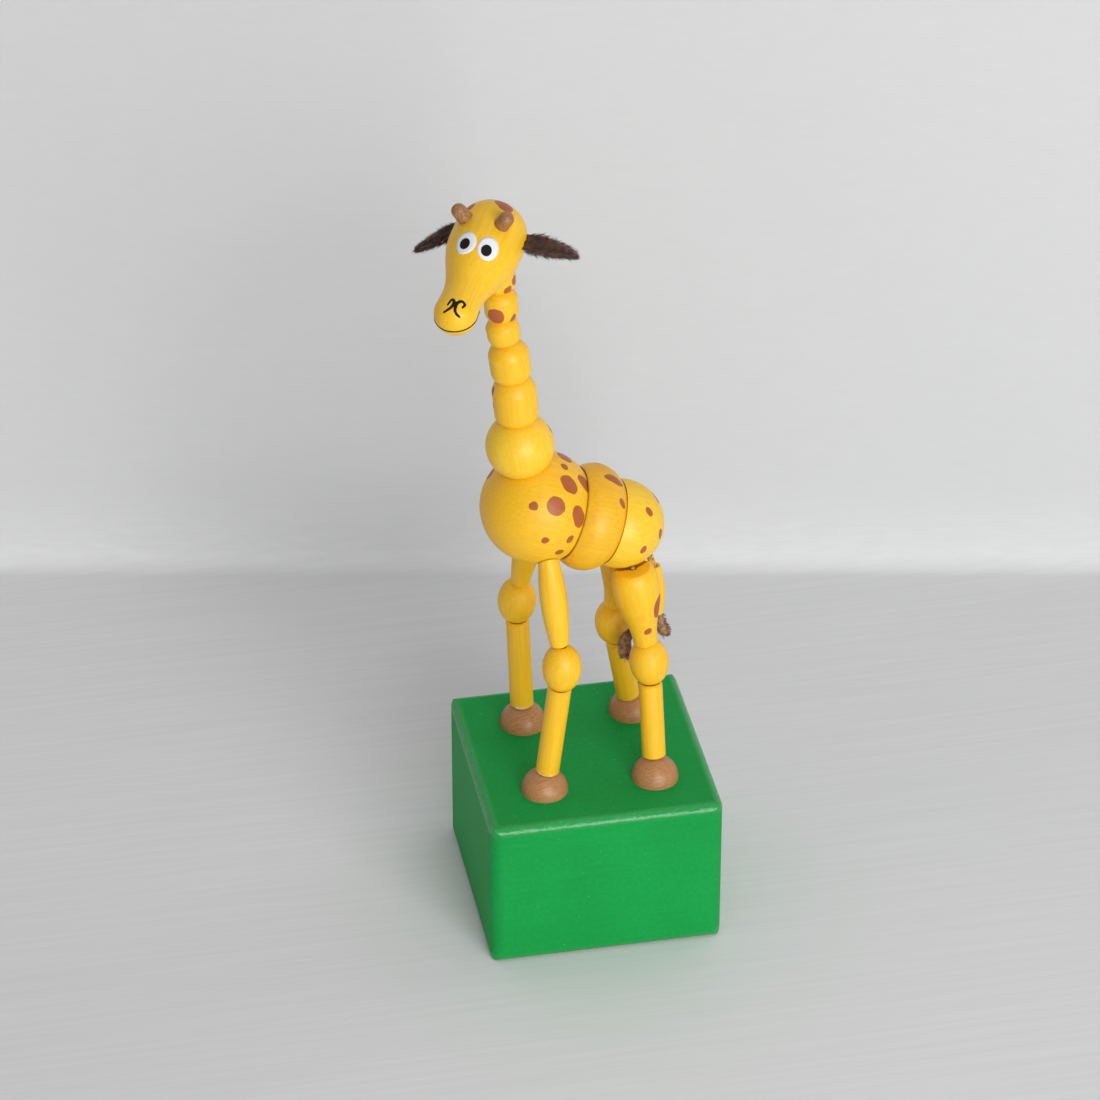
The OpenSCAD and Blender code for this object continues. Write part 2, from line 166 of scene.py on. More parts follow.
# %% Table and wall
def grey_board():
    material, tree, shader, place = new_finish("grey_board")
    streak = (0.06, 0.0016, 0.0016)
    stretched = add(tree, "Mapping", {"Vector": place, "Scale": streak}, vector_type="TEXTURE").outputs[0]
    brushed = speckle(tree, stretched, 1.0, 3.0)
    clouds = speckle(tree, place, 3.0, 2.0)
    pale = blend_colour(tree, brushed, rgb(0.66, 0.66, 0.665), rgb(0.85, 0.85, 0.855))
    tone = blend_colour(tree, fade(tree, clouds, 0.3, 0.7), rgb(0.71, 0.71, 0.715), rgb(0.79, 0.79, 0.795))
    up_wall = fade(tree, add(tree, "SeparateXYZ", {0: place}).outputs[2], 0.0, 0.03)
    floor = blend_colour(tree, 0.5, pale, tone)
    wall = blend_colour(tree, 0.15, rgb(0.680, 0.680, 0.685), pale)
    colour = blend_colour(tree, up_wall, floor, wall)
    feed(tree, shader, {"Base Color": colour, "Roughness": 0.75, "Specular IOR Level": 0.2})
    behind = add(tree, "NewGeometry").outputs["Backfacing"]
    clear = add(tree, "BsdfTransparent").outputs[0]
    mixed = add(tree, "MixShader", {0: behind, 1: shader.outputs[0], 2: clear}).outputs[0]
    tree.links.new(mixed, tree.nodes["Material Output"].inputs[0])
    return material


def table_and_wall(wall_at, half_table=2.5, wall_height=3.0, bend=0.006):
    bm = bmesh.new()
    bmesh.ops.create_grid(bm, x_segments=1, y_segments=1, size=half_table)
    bmesh.ops.translate(bm, vec=(0, wall_at - half_table, 0), verts=bm.verts)
    crease = max(bm.edges, key=lambda e: e.verts[0].co.y + e.verts[1].co.y)
    grown = bmesh.ops.extrude_edge_only(bm, edges=[crease])["geom"]
    raised = [v for v in grown if isinstance(v, bmesh.types.BMVert)]
    bmesh.ops.translate(bm, vec=(0, 0, wall_height), verts=raised)
    bmesh.ops.bevel(bm, geom=[crease], offset=bend, affect="EDGES", segments=8, profile=0.5, material=-1)
    bmesh.ops.rotate(bm, cent=(0, 0, 0), matrix=Matrix.Rotation(round_toy, 3, "Z"), verts=bm.verts)
    for face in bm.faces:
        face.smooth = True
    mesh = bpy.data.meshes.new("table_and_wall")
    bm.to_mesh(mesh)
    bm.free()
    sheet = bpy.data.objects.new("table_and_wall", mesh)
    mesh.materials.append(grey_board())
    scene.collection.objects.link(sheet)
    return sheet


sheet = table_and_wall(0.147)
faces_up = sheet.data.polygons[0].normal.z > 0
print("table and wall:", len(sheet.data.polygons), "faces, normals up:", faces_up)

# %% [markdown]
# ## Light
# The front of the block is the brightest side, the top and the left side get about half of that, and
# shadows are faint. So one broad, low lamp stands in front, a little to the right. A weaker one hangs
# above, and an even pale world fills the rest.

# %% Light
def soft_lamp(name, at, target, size, watts):
    data = bpy.data.lights.new(name, "AREA")
    data.shape = "DISK"
    data.size = size
    data.energy = watts
    lamp = bpy.data.objects.new(name, data)
    lamp.location = at
    lamp.rotation_euler = (Vector(at) - Vector(target)).to_track_quat("Z", "Y").to_euler()
    scene.collection.objects.link(lamp)


toy_middle = (0, 0, 0.11)
soft_lamp("front_lamp", (0.26, -1.25, 0.48), toy_middle, 0.95, 13.5)
soft_lamp("top_lamp", (0.10, -0.40, 1.60), toy_middle, 1.2, 2.0)
world = bpy.data.worlds.new("pale_room")
scene.world = world
world.use_nodes = True
room = world.node_tree
feed(room, room.nodes["Background"], {"Color": rgb(0.97, 0.98, 1.0), "Strength": 0.30})
print("two lamps and an even world")

# %% [markdown]
# ## Yellow stained wood with brown spots
# The beads are stained yellow and lacquered, so the grain still shows faintly and the surface has a soft
# gloss. Noise that is stretched along each piece makes the streaks. The brown spots are brushed on by
# hand: each one is an oval that is set square to the surface, and a little noise in the position makes
# its edge uneven.

# %% Grain and spots
def grain(tree, place, along, streak=(0.0005, 0.0005, 0.016)):
    turn = Vector((0, 0, 1)).rotation_difference(Vector(along)).to_euler()
    inputs = {"Vector": place, "Rotation": turn, "Scale": streak}
    return speckle(tree, add(tree, "Mapping", inputs, vector_type="TEXTURE").outputs[0], 1.0, 3.0)


def brushed_spots(tree, place, ovals, depth=0.004, unevenness=0.001):
    wobble = vector_calc(tree, "SUBTRACT", speckle(tree, place, 330.0, 1.0, out=1), (0.5, 0.5, 0.5))
    moved = {0: wobble, 1: (unevenness,) * 3, 2: place}
    uneven = add(tree, "VectorMath", moved, operation="MULTIPLY_ADD").outputs[0]
    nearest = None
    for middle, outwards, across, up, lean in ovals:
        turn = outwards.to_track_quat("Z", "Y") @ Quaternion((0, 0, 1), math.radians(lean))
        size = (across / 1000, up / 1000, depth)
        inputs = {"Vector": uneven, "Location": middle, "Rotation": turn.to_euler(), "Scale": size}
        inside = add(tree, "Mapping", inputs, vector_type="TEXTURE").outputs[0]
        away = add(tree, "VectorMath", {0: inside}, operation="LENGTH").outputs["Value"]
        nearest = away if nearest is None else calc(tree, "MINIMUM", nearest, away)
    return fade(tree, nearest, 0.96, 1.04, 1.0, 0.0)


# each stain: two tones for the dark streaks, then two for the light ones
pale_stain = (
    rgb(0.90, 0.470, 0.006), rgb(0.93, 0.510, 0.009),
    rgb(0.95, 0.550, 0.013), rgb(0.98, 0.590, 0.020),
)
# a paler copy of the yellow stain, used on the neck ball and the rump: painted highlight, for the broad
# shine of the lamps on them
painted_highlight_stain = (
    rgb(0.92, 0.525, 0.010), rgb(0.95, 0.565, 0.016),
    rgb(0.97, 0.605, 0.028), rgb(0.98, 0.640, 0.045),
)
gold_stain = (
    rgb(0.90, 0.452, 0.006), rgb(0.93, 0.490, 0.008),
    rgb(0.96, 0.530, 0.012), rgb(0.98, 0.570, 0.017),
)
# a deeper copy of the yellow stain, used on the belly: painted shade, since the belly faces down, away from
# the lamps
painted_shade_stain = (
    rgb(0.84, 0.412, 0.005), rgb(0.88, 0.448, 0.007),
    rgb(0.91, 0.488, 0.010), rgb(0.94, 0.528, 0.014),
)
# how far the painted shade in the crease between belly and chest reaches
seam_shade_width = 0.0008
chips_from, chips_to = 0.0068, 0.0082


def yellow_wood(name, along, spots=(), chipped=None, stain=pale_stain, seam_shade=None):
    material, tree, shader, place = new_finish(name)
    streaks = grain(tree, place, along)
    tone = speckle(tree, place, 60.0, 2.0)
    deep = blend_colour(tree, tone, stain[0], stain[1])
    light = blend_colour(tree, tone, stain[2], stain[3])
    colour = blend_colour(tree, fade(tree, streaks, 0.28, 0.68), deep, light)
    if seam_shade is not None:
        # painted shade: the belly is darkened near the chest's surface, in the crease between the two where
        # light does not reach
        beside, reach = seam_shade
        painted_seam_shade = fade(tree, apart(tree, place, beside), reach, reach + seam_shade_width, 0.85, 0.0)
        colour = blend_colour(tree, painted_seam_shade, colour, rgb(0.13, 0.045, 0.006))
    height = calc(tree, "MULTIPLY", streaks, 0.35)
    if chipped is not None:
        near_foot = fade(tree, apart(tree, place, chipped), chips_from, chips_to, 0.49, 0.20)
        bare = calc(tree, "SUBTRACT", near_foot, speckle(tree, place, 900.0, 1.0))
        flakes = fade(tree, bare, 0.0, 0.03)
        colour = blend_colour(tree, flakes, colour, rgb(0.84, 0.70, 0.46))
        height = calc(tree, "SUBTRACT", height, calc(tree, "MULTIPLY", flakes, 0.6))
    if spots:
        brushed = brushed_spots(tree, place, spots)
        dabs = speckle(tree, place, 500.0)
        brown = blend_colour(tree, dabs, rgb(0.37, 0.080, 0.013), rgb(0.47, 0.114, 0.022))
        colour = blend_colour(tree, brushed, colour, brown)
        height = calc(tree, "ADD", height, calc(tree, "MULTIPLY", brushed, 0.5))
    feed(tree, shader, {
        "Base Color": colour,
        "Roughness": fade(tree, speckle(tree, place, 160.0), 0.3, 0.7, 0.40, 0.52),
        "Specular IOR Level": 0.6,
        "Specular Tint": rgb(1.0, 0.95, 0.85),
        "Normal": embossed(tree, height),
    })
    return material


print("yellow finish ready")

# %% [markdown]
# ## Yellow pieces
# A turner cuts each bead along the grain of its rod, so the streaks follow the piece's own axis: up the
# shins and thighs, along the neck, and along the back for chest, belly and rump. Each piece gets its own
# finish, so that no two are alike. A spot on a ball is set by a turn round the ball and a rise above its
# middle, in degrees, with half its width and height in millimetres. The near side follows the picture and
# the far side is filled in the same way.

# %% Yellow pieces
def dress(node, finish):
    for slot in solids[node].material_slots:
        slot.material = finish


legs = ("front_left", "front_right", "rear_left", "rear_right")
upper = {leg: ("thigh_" if leg.startswith("front") else "haunch_") + leg for leg in legs}
chest = pivot["hip_front_left"]
along_back = mm(20.7, 0, -7.7).normalized()
chest_r, belly_r, rump_r = 0.0143, 0.0133, 0.0112
chest_to_belly, chest_to_rump = 0.0136, 0.02209
belly = chest + along_back * chest_to_belly
rump = chest + along_back * chest_to_rump
neck = [pivot["neck_bend_%d" % i] for i in (1, 2, 3, 4, 5)] + [pivot["head_turn"]]
neck_pieces = ("neck_ball", "neck_bead_1", "neck_bead_2", "neck_bead_3", "neck_bead_4", "throat_bead")

# turn, rise, half width, half height, lean
chest_spots = [
    (-24, 61, 1.1, 1.0, 0), (-48, 46, 2.1, 2.7, 10), (-20, 33, 1.8, 3.0, 10), (-79, 31, 2.3, 2.6, 20),
    (-105, 33, 1.2, 1.1, 0), (-54, 13, 1.9, 3.0, 0), (-93, -3, 1.0, 0.9, 0), (-66, -9, 1.0, 1.1, 0),
    (-48, -26, 0.8, 1.8, -20), (-76, -24, 1.2, 1.1, 0), (16, 58, 2.4, 2.0, 0), (159, 35, 1.6, 1.6, 0),
    (68, 44, 2.4, 2.0, 0), (42, 24, 1.9, 2.6, 10), (101, 34, 1.3, 1.2, 0), (85, 14, 2.3, 2.7, -15),
    (58, 2, 1.5, 2.2, 0), (112, 6, 1.2, 1.1, 0), (78, -17, 1.2, 1.1, 0), (156, -5, 1.3, 1.4, 0),
]
belly_spots = [
    (-20, 60, 1.5, 2.9, 15), (-46, 37, 0.9, 1.3, 0), (61, 57, 1.6, 1.4, 0), (100, 22, 1.7, 2.6, -10),
    (59, 8, 1.2, 1.7, 0), (80, 20, 1.0, 1.2, 0),
]
rump_spots = [
    (-46, 37, 1.0, 1.3, 0), (-68, -9, 0.9, 1.1, -20), (-36, -1, 1.1, 1.5, 0), (6, 32, 2.0, 1.6, 0),
    (12, 4, 1.3, 1.2, 0), (50, 35, 1.5, 1.9, 0), (36, -6, 1.1, 1.3, 0), (70, 12, 1.2, 1.2, 0),
]
neck_spots = {
    "neck_ball": [(1, 26, 1.2, 1.2, 0), (55, 27, 1.7, 1.5, 0), (141, 21, 1.3, 1.5, 0)],
    "neck_bead_1": [(178, 12, 1.2, 1.3, 0), (179, -26, 1.0, 0.8, 0), (63, 0, 1.4, 1.6, 0)],
    "neck_bead_2": [(69, -1, 1.4, 1.3, 0)],
    "neck_bead_3": [(112, -16, 1.3, 1.5, 0), (27, -11, 1.1, 1.0, 0)],
    "neck_bead_4": [(-118, -25, 2.1, 2.2, 0), (-55, -38, 1.0, 1.3, -15), (69, -29, 1.8, 1.7, 0)],
    "throat_bead": [(-66, -22, 1.1, 1.2, -30), (-32, 5, 1.1, 1.3, 0), (76, -26, 1.4, 1.2, 0)],
}
# share of the way up, turn, distance from the axis, half width, half height, lean
haunch_spots = {
    "rear_left": [
        (0.60, -30, 5.2, 2.5, 3.5, 0), (0.36, -80, 3.6, 1.0, 1.1, -20), (0.7, 40, 5.6, 1.5, 1.8, 0),
    ],
    "rear_right": [
        (0.6, 45, 5.2, 1.8, 2.9, 0), (0.36, 100, 3.6, 1.1, 1.1, 0), (0.75, 130, 5.6, 1.3, 1.5, 0),
    ],
}


def level(turn):
    return Vector((math.cos(math.radians(turn)), math.sin(math.radians(turn)), 0))


def on_ball(middle, radius, rows):
    ovals = []
    for turn, rise, across, up, lean in rows:
        outwards = level(turn) * math.cos(math.radians(rise)) + Vector((0, 0, math.sin(math.radians(rise))))
        ovals.append((middle + outwards * radius, outwards, across, up, lean))
    return ovals


def on_haunch(low, high, rows):
    return [(low.lerp(high, share) + level(turn) * radius / 1000, level(turn), across, up, lean)
            for share, turn, radius, across, up, lean in rows]


# the belly's deeper stain and its dark rim by the chest are painted shade; the rump's paler stain is a
# painted highlight
for node, middle, radius, rows, stain, seam_shade in (
    ("chest_ball", chest, chest_r, chest_spots, gold_stain, None),
    ("belly_bead", belly, belly_r, belly_spots, painted_shade_stain, (chest, chest_r)),
    ("rump_ball", rump, rump_r, rump_spots, painted_highlight_stain, None),
):
    ovals = on_ball(middle, radius, rows)
    dress(node, yellow_wood(node + "_yellow", along_back, ovals, stain=stain, seam_shade=seam_shade))
neck_r = (0.0085, 0.0055, 0.0050, 0.0043, 0.0047, 0.0045)
# the neck ball takes the paler stain, a painted highlight
for low, high, node, radius in zip([chest] + neck, neck, neck_pieces, neck_r):
    stain = painted_highlight_stain if node == "neck_ball" else pale_stain
    ovals = on_ball(high, radius, neck_spots[node])
    dress(node, yellow_wood(node + "_yellow", high - low, ovals, stain=stain))

knee_low, knee_high, shin_line, thigh_line = {}, {}, {}, {}
for leg in legs:
    knee_low[leg] = pivot["knee_tilt_" + leg]
    knee_high[leg] = 2 * pivot["knee_bend_" + leg] - knee_low[leg]
    shin_line[leg] = (knee_low[leg] - pivot["ankle_" + leg]).normalized()
# from the middle of chest or rump towards each hip
hip_way = {
    "front_left": mm(0.9, -10.2, -10.5),
    "front_right": mm(0.9, 10.2, -10.5),
    "rear_left": mm(1.9, -7.4, -8.4),
    "rear_right": mm(3.4, 7.8, -7.7),
}
hip = {}
for leg in legs:
    front = leg.startswith("front")
    ball, radius = (chest, chest_r) if front else (rump, rump_r)
    hip[leg] = ball + hip_way[leg].normalized() * radius
    thigh_line[leg] = (hip[leg] - knee_high[leg]).normalized()
    foot = pivot["ankle_" + leg] if front else None
    dress("shin_" + leg, yellow_wood("shin_" + leg + "_yellow", shin_line[leg], chipped=foot))
    dress("knee_" + leg, yellow_wood("knee_" + leg + "_yellow", knee_high[leg] - knee_low[leg]))
    ovals = on_haunch(knee_high[leg], hip[leg], haunch_spots.get(leg, ()))
    dress(upper[leg], yellow_wood(upper[leg] + "_yellow", thigh_line[leg], ovals))
tail_top = rump + mm(9.2, 0, -13.9)
tail_end = rump + mm(10.1, 0, -28.2)
dress("tail_bead", yellow_wood("tail_bead_yellow", tail_end - tail_top))
print("dressed the yellow pieces; the rump's middle is at", [round(c * 1000, 1) for c in rump])

# %% [markdown]
# ## Head, and its own frame
# The head is one turned and carved piece that looks to the front left and a little down. Working in its
# own frame makes the face simple: X is up through the crown, Y is the giraffe's right, and Z runs out
# along the muzzle.

# %% Head
head_middle, head_r, looks_round, looks_down = mm(-23.4, 0, 196.6), 0.0087, 60, -107
head_frame = (
    Matrix.Translation(head_middle)
    @ Matrix.Rotation(math.radians(looks_round), 4, "Z")
    @ Matrix.Rotation(math.radians(looks_down), 4, "Y")
)
crown_way, right_way, muzzle_way = (way.copy() for way in head_frame.to_3x3().col)
# direction from the head's middle, half width, half height, lean
crown_spots = [
    (6.8, -2.8, -3.5, 3.0, 2.1, 15), (7.1, 4.8, -1.6, 1.6, 1.1, 0), (6.4, 1.4, -6.0, 1.8, 1.3, 0),
    (3.0, 6.6, -5.0, 2.0, 1.6, 0), (1.0, -4.2, -7.8, 2.2, 1.8, 0), (-4.6, 3.0, -7.0, 1.8, 1.6, 0),
]
crown = []
for x, y, z, across, up, lean in crown_spots:
    outwards = (head_frame.to_3x3() @ Vector((x, y, z))).normalized()
    crown.append((head_middle + outwards * head_r, outwards, across, up, lean))
dress("head", yellow_wood("head_yellow", muzzle_way, crown))
print("head dressed with", len(crown), "spots")

# %% [markdown]
# ## Brown wood
# Hooves and horns are turned wood under a brown stain. Their streaks are finer and stronger than on the
# yellow pieces, because a stain sinks into the pores and shows them.

# %% Brown wood
hoof_stain = (
    rgb(0.36, 0.152, 0.049), rgb(0.42, 0.184, 0.064),
    rgb(0.48, 0.224, 0.084), rgb(0.54, 0.268, 0.112),
)
horn_stain = (
    rgb(0.20, 0.085, 0.028), rgb(0.26, 0.110, 0.038),
    rgb(0.38, 0.175, 0.066), rgb(0.44, 0.210, 0.082),
)


def brown_wood(name, along, stain):
    material, tree, shader, place = new_finish(name)
    streaks = grain(tree, place, along, (0.0003, 0.0003, 0.004))
    tone = speckle(tree, place, 120.0, 2.0)
    dark = blend_colour(tree, tone, stain[0], stain[1])
    light = blend_colour(tree, tone, stain[2], stain[3])
    stained = blend_colour(tree, fade(tree, streaks, 0.30, 0.66), dark, light)
    dust = fade(tree, speckle(tree, place, 2600.0, 1.0), 0.62, 0.72, 0.0, 0.3)
    stained = blend_colour(tree, dust, stained, rgb(0.60, 0.38, 0.21))
    feed(tree, shader, {
        "Base Color": stained,
        "Roughness": fade(tree, streaks, 0.3, 0.7, 0.46, 0.36),
        "Normal": embossed(tree, streaks, 0.3),
    })
    return material


for leg in legs:
    dress("hoof_" + leg, brown_wood("hoof_" + leg + "_brown", (1, 0, 0.2), hoof_stain))
for side in ("left", "right"):
    dress("horn_" + side, brown_wood("horn_" + side + "_brown", crown_way, horn_stain))
print("hooves and horns stained")

# %% [markdown]
# ## Green block and button
# Block and button are dipped in green paint with a satin gloss. Sharp edges lose a little paint in a
# child's hands. A point lies near an edge of a box when two of its three distances to the box's sides are
# small, so the middle one of the three distances tells where to wear the paint. Along the top and bottom
# edges the paint is thicker: there it is glossier, and fine ripples break up the shine.

# %% Green paint
def green_paint(name, middle, half):
    material, tree, shader, place = new_finish(name)
    outwards = vector_calc(tree, "ABSOLUTE", vector_calc(tree, "SUBTRACT", place, middle))
    x, y, z = add(tree, "SeparateXYZ", {0: vector_calc(tree, "SUBTRACT", outwards, half)}).outputs
    larger = calc(tree, "MAXIMUM", x, y)
    second = calc(tree, "MAXIMUM", calc(tree, "MINIMUM", x, y), calc(tree, "MINIMUM", larger, z))
    rough_edge = calc(tree, "MULTIPLY", speckle(tree, place, 260.0, 4.0), 0.0022)
    worn = fade(tree, calc(tree, "ADD", second, rough_edge), 0.0004, 0.0009)
    brushed = grain(tree, place, (1, 0, 0), (0.0008, 0.0008, 0.015))
    clouds = speckle(tree, place, 45.0, 3.0)
    coat = blend_colour(tree, brushed, rgb(0.006, 0.290, 0.050), rgb(0.010, 0.345, 0.068))
    coat = blend_colour(tree, fade(tree, clouds, 0.35, 0.7, 0.0, 0.5), coat, rgb(0.008, 0.375, 0.074))
    mottle = fade(tree, speckle(tree, place, 900.0, 3.0), 0.35, 0.65, 0.0, 0.3)
    coat = blend_colour(tree, mottle, coat, rgb(0.005, 0.265, 0.044))
    specks = fade(tree, speckle(tree, place, 1300.0, 0.0), 0.81, 0.84)
    coat = blend_colour(tree, specks, coat, rgb(0.04, 0.42, 0.12))
    colour = blend_colour(tree, calc(tree, "MULTIPLY", worn, 0.25), coat, rgb(0.15, 0.50, 0.20))
    near_edge, near_end = fade(tree, second, -0.0030, -0.0012), fade(tree, z, -0.0040, -0.0012)
    level_edge = calc(tree, "MULTIPLY", near_edge, near_end)
    thick = calc(tree, "MULTIPLY", level_edge, 10.0)
    ripples = calc(tree, "MULTIPLY", speckle(tree, place, 750.0, 2.0), thick)
    height = calc(tree, "ADD", calc(tree, "MULTIPLY", brushed, 0.4), calc(tree, "ADD", specks, ripples))
    feed(tree, shader, {
        "Base Color": colour,
        "Roughness": fade(tree, level_edge, 0.0, 1.0, 0.55, 0.27),
        "Specular IOR Level": fade(tree, level_edge, 0.0, 1.0, 0.12, 0.5),
        "Normal": embossed(tree, height),
    })
    return material


dress("base_block", green_paint("block_green", mm(0, 0, 21), mm(30, 30, 21)))
dress("push_button", green_paint("button_green", mm(0, 0, 10.5), mm(30, 30, 30)))
print("block and button painted")

# %% [markdown]
# ## Pieces of our own
# Everything soft or wound is made afresh and stands for its plain solid: fur, yarn, threads and the
# spring. One helper turns a finished bmesh into a named piece that rides on the right body. Another
# sweeps a round bar along a path by extruding a ring, and a third smooths a path, so that a curve needs
# only a few points.

# %% Piece helpers
def make_piece(name, bm, body, finish, stands_for=()):
    bmesh.ops.remove_doubles(bm, verts=bm.verts, dist=1e-7)
    bmesh.ops.recalc_face_normals(bm, faces=bm.faces)
    for face in bm.faces:
        face.smooth = True
    mesh = bpy.data.meshes.new(name)
    bm.to_mesh(mesh)
    bm.free()
    mesh.materials.append(finish)
    piece = bpy.data.objects.new(name, mesh)
    scene.collection.objects.link(piece)
    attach(piece, body)
    if stands_for:
        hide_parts(*stands_for)
    return piece


def smooth_path(points, per=6):
    ends = [2 * points[0] - points[1]] + list(points) + [2 * points[-1] - points[-2]]
    path = []
    for a, b, c, d in zip(ends, ends[1:], ends[2:], ends[3:]):
        for i in range(per):
            t = i / per
            path.append(
                b + 0.5 * t * (c - a + t * (2 * a - 5 * b + 4 * c - d + t * (3 * (b - c) + d - a)))
            )
    return path + [points[-1]]


def ring_edges(ring):
    return list(dict.fromkeys(edge for vert in ring for edge in vert.link_edges))


def sweep(bm, path, radius, sides=6):
    way = (path[1] - path[0]).normalized()
    turn = way.to_track_quat("Z", "Y")
    frame_before = Matrix.Translation(path[0]) @ turn.to_matrix().to_4x4() @ Matrix.Scale(radius(0.0), 4)
    ring = bmesh.ops.create_circle(bm, segments=sides, radius=1.0, matrix=frame_before)["verts"]
    edges = ring_edges(ring)
    bmesh.ops.contextual_create(bm, geom=edges)
    for i in range(1, len(path)):
        ahead = (path[min(i + 1, len(path) - 1)] - path[i - 1]).normalized()
        turn = way.rotation_difference(ahead) @ turn
        way = ahead
        size = radius(i / (len(path) - 1))
        frame_now = Matrix.Translation(path[i]) @ turn.to_matrix().to_4x4() @ Matrix.Scale(size, 4)
        grown = bmesh.ops.extrude_edge_only(bm, edges=edges)["geom"]
        ring = [g for g in grown if isinstance(g, bmesh.types.BMVert)]
        edges = [g for g in grown if isinstance(g, bmesh.types.BMEdge) and all(v in ring for v in g.verts)]
        bmesh.ops.transform(bm, matrix=frame_now @ frame_before.inverted(), verts=ring)
        frame_before = frame_now
    bmesh.ops.contextual_create(bm, geom=edges)


print("piece helpers ready")

# %% [markdown]
# ## Eyes
# Each eye is a white oval with a black pupil, painted thickly enough to stand a hair proud. A radius line
# is spun into a disc, every point is dropped along the look of the eye onto the carved head, and solidify
# gives the paint its thickness. The painter set the two eyes a little unevenly, and so do the numbers
# here.

# %% Eyes
def glossy_paint(name, first, second, roughness, shine):
    material, tree, shader, place = new_finish(name)
    feed(tree, shader, {
        "Base Color": blend_colour(tree, speckle(tree, place, 900.0, 2.0), first, second),
        "Roughness": fade(tree, speckle(tree, place, 700.0), 0.3, 0.7, roughness, roughness + 0.1),
        "Specular IOR Level": shine,
    })
    return material


white_paint = glossy_paint("eye_white", rgb(0.80, 0.82, 0.86), rgb(0.87, 0.88, 0.91), 0.30, 0.5)
black_paint = glossy_paint("face_black", rgb(0.008, 0.006, 0.005), rgb(0.016, 0.012, 0.010), 0.42, 0.15)

carved = bmesh.new()
carved.from_mesh(solids["head"].data)
carved.transform(solids["head"].matrix_world)
head_skin = BVHTree.FromBMesh(carved)
carved.free()
paint_thickness, start_above = 0.00012, 0.004


def painted_oval(name, middle, half_up, half_across, lift, finish):
    at, outwards = head_skin.find_nearest(head_frame @ middle)[:2]
    side = right_way.cross(outwards).normalized()
    eye_frame = Matrix((side, outwards.cross(side), outwards)).transposed()
    bm = bmesh.new()
    spokes = [bm.verts.new((i / 5, 0, 0)) for i in range(6)]
    line = [bm.edges.new(pair) for pair in zip(spokes, spokes[1:])]
    bmesh.ops.spin(bm, geom=spokes + line, axis=(0, 0, 1), angle=math.tau, steps=40, use_merge=True)
    bmesh.ops.remove_doubles(bm, verts=bm.verts, dist=1e-5)
    for vert in bm.verts:
        flat = eye_frame @ Vector((vert.co.x * half_up, vert.co.y * half_across, start_above))
        vert.co = head_skin.ray_cast(at + flat, -outwards)[0] + outwards * lift
    bmesh.ops.recalc_face_normals(bm, faces=bm.faces)
    bmesh.ops.solidify(bm, geom=bm.faces, thickness=paint_thickness)
    return make_piece(name, bm, "head", finish)


# where the white and the pupil sit, in the head's frame
eyes = {
    "right": (mm(7.65, 1.94, 10.51), mm(7.53, 2.07, 10.75)),
    "left": (mm(7.0, -3.62, 10.54), mm(6.91, -3.37, 11.14)),
}
for side, (white, pupil) in eyes.items():
    painted_oval("eye_" + side, white, 0.0030, 0.0026, 0.00006, white_paint)
    painted_oval("pupil_" + side, pupil, 0.00145, 0.0013, 0.00012, black_paint)
print("two eyes painted")

# %% [markdown]
# ## Nostrils and mouth
# The nose is two quick strokes of a thin brush, bent like hooks and touching in the middle. The mouth is
# one long line round the muzzle. A stroke is a smoothed path, laid on the head and swept as a thin bar
# that is sunk in.

# %% Nostrils and mouth
nose_width, mouth_width, stands_proud = 0.00140, 0.00054, 0.00016
mouth_r, mouth_height, mouth_middle = 5.2, -0.8, 26


def brush_stroke(bm, points, width, per=6):
    path = []
    for point in smooth_path([head_frame @ p for p in points], per):
        at, outwards = head_skin.find_nearest(point)[:2]
        path.append(at - outwards * (width / 2 - stands_proud))
    sweep(bm, path, lambda t: width / 2 * (0.9 + 0.1 * math.sin(math.pi * t)), 8)


right_hook = [
    mm(4.7, 0.85, 28.0), mm(5.18, 0.16, 26.4), mm(5.03, -0.6, 27.1),
    mm(4.58, -0.15, 28.4), mm(3.53, 1.47, 29.5),
]
left_hook = [
    mm(4.18, -2.53, 27.7), mm(4.25, -2.94, 26.5), mm(4.77, -2.04, 26.1),
    mm(4.84, -1.15, 27.4), mm(4.01, -1.41, 29.0), mm(2.83, -2.6, 29.5),
]
nose = bmesh.new()
for hook in (right_hook, left_hook):
    brush_stroke(nose, hook, nose_width)
make_piece("nostrils", nose, "head", black_paint)
smile = []
for degrees in range(-120, 121, 15):
    a = math.radians(degrees)
    smile.append(mm(mouth_height, mouth_r * math.sin(a), mouth_middle + mouth_r * math.cos(a)))
mouth = bmesh.new()
brush_stroke(mouth, smile, mouth_width, 3)
make_piece("mouth", mouth, "head", black_paint)
print("nose and mouth drawn")

# %% [markdown]
# ## Fur ears
# The ears are cut from short dark fur. A grid bent into a leaf is the backing, and 2400 tapered hairs lie
# on it towards the tip. Those near the rim lean outwards as a loose fringe. Hairs are three-sided, since
# there are so many.

# %% Fur ears
def fur(name, dark, light):
    material, tree, shader, place = new_finish(name)
    shade = fade(tree, speckle(tree, place, 800.0, 2.0), 0.3, 0.7)
    feed(tree, shader, {
        "Base Color": blend_colour(tree, shade, dark, light),
        "Roughness": fade(tree, speckle(tree, place, 300.0), 0.3, 0.7, 0.55, 0.8),
        "Sheen Weight": 0.15,
    })
    return material


ear_fur = fur("ear_fur", rgb(0.040, 0.015, 0.010), rgb(0.150, 0.062, 0.040))
ear_length, ear_half_width, ear_thickness = 0.0128, 0.0027, 0.0007
ear_hairs, hair_r = 2400, 0.00008


def ear_rim(t):
    return ear_half_width * max(math.sin(math.pi * (0.36 + 0.64 * t)), 0.0) ** 0.8


def on_ear(u, t, down):
    return Vector((0.0004 * u * u, u * ear_rim(t) + down * 0.0008 * t * t, 0.0004 + ear_length * t))


def hair(bm, at, way, length):
    place = Matrix.Translation(at + way * length / 2) @ way.to_track_quat("Z", "Y").to_matrix().to_4x4()
    bmesh.ops.create_cone(
        bm, cap_ends=False, segments=3, radius1=hair_r, radius2=hair_r * 0.2, depth=length, matrix=place
    )


